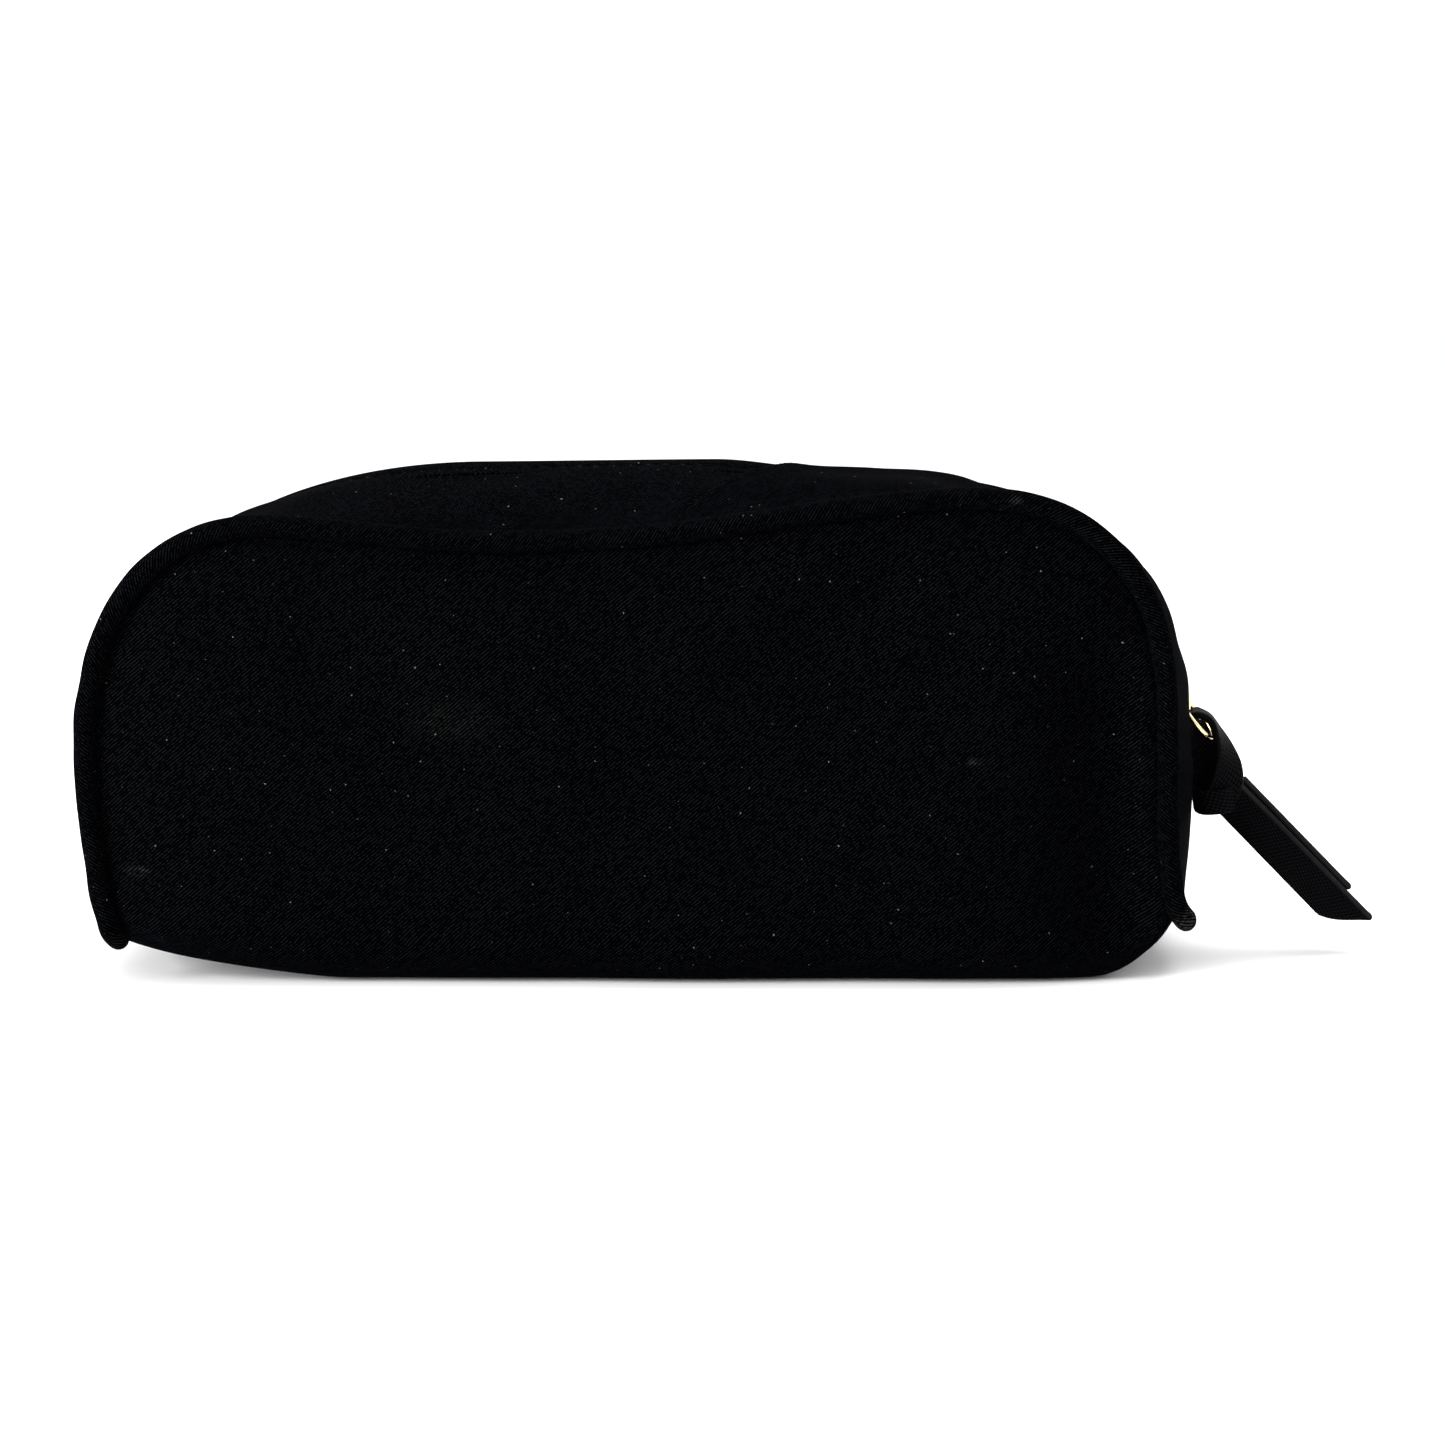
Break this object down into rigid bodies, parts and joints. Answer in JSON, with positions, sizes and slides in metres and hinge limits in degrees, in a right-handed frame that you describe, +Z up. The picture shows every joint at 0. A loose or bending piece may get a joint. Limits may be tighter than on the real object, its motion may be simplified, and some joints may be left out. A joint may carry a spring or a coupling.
{
  "type": "soft zip makeup bag",
  "caption": "Soft black twill makeup bag with piped front and back walls, a zip over the top and both shoulders, and a knotted leather pull",
  "frame": {"origin": "middle of the face the bag rests on", "axes": "+X along the bag towards the end with the zip pull, -Y towards the front wall, +Z up"},
  "size_m": [0.2453, 0.0722, 0.0926],
  "materials": {
    "twill": "matte black nylon twill",
    "lining": "smooth dark lining cloth",
    "felt": "grey felt, sealed between cloth and lining",
    "board": "thin stiffening board",
    "nylon": "black nylon zip",
    "gold": "polished pale gold plating",
    "leather": "cross-grain black leather with painted edges"
  },
  "bodies": {
    "bag": {"back_panel": "twill", "back_interlining": "felt", "back_lining": "lining", "back_piping": "twill", "back_gusset": "twill", "back_gusset_lining": "lining", "left_side_panel": "twill", "right_side_panel": "twill", "left_side_lining": "lining", "right_side_lining": "lining", "base_panel": "twill", "base_board": "board", "base_lining": "lining", "back_zip_tape": "nylon", "back_zip_coil": "nylon", "back_top_stop": "gold", "zip_bottom_stop": "gold"},
    "front_wall": {"front_panel": "twill", "front_interlining": "felt", "front_lining": "lining", "front_piping": "twill", "front_gusset": "twill", "front_gusset_lining": "lining", "front_zip_tape": "nylon", "front_zip_coil": "nylon", "front_top_stop": "gold"},
    "slider": {"slider_body": "gold", "slider_bridge": "gold"},
    "ring": {"pull_ring": "gold"},
    "knot": {"strap_knot": "leather"},
    "front_tail": {"front_strap_tail": "leather"},
    "back_tail": {"back_strap_tail": "leather"}
  },
  "joints": [
    {"name": "front_wall_open", "type": "hinge", "parent": "bag", "child": "front_wall", "pos_m": [0, -0.0313, 0.0096], "axis": [1, 0, 0], "range_deg": [0, 20]},
    {"name": "slider_travel", "type": "hinge", "parent": "bag", "child": "slider", "pos_m": [0.054, 0, 0.044], "axis": [0, -1, 0], "range_deg": [0, 80]},
    {"name": "ring_swing", "type": "hinge", "parent": "slider", "child": "ring", "pos_m": [0.10325, 0, 0.0483], "axis": [0, -1, 0], "range_deg": [-3, 70]},
    {"name": "knot_swing", "type": "hinge", "parent": "ring", "child": "knot", "pos_m": [0.10876, 0, 0.04196], "axis": [0, -1, 0], "range_deg": [-3, 40]},
    {"name": "front_tail_flex", "type": "hinge", "parent": "knot", "child": "front_tail", "pos_m": [0.11229, -0.00108, 0.02942], "axis": [-0.6124, 0.5, -0.6124], "range_deg": [0, 25]},
    {"name": "back_tail_flex", "type": "hinge", "parent": "knot", "child": "back_tail", "pos_m": [0.11318, 0.00108, 0.03031], "axis": [0.6124, -0.5, 0.6124], "range_deg": [0, 25]}
  ]
}
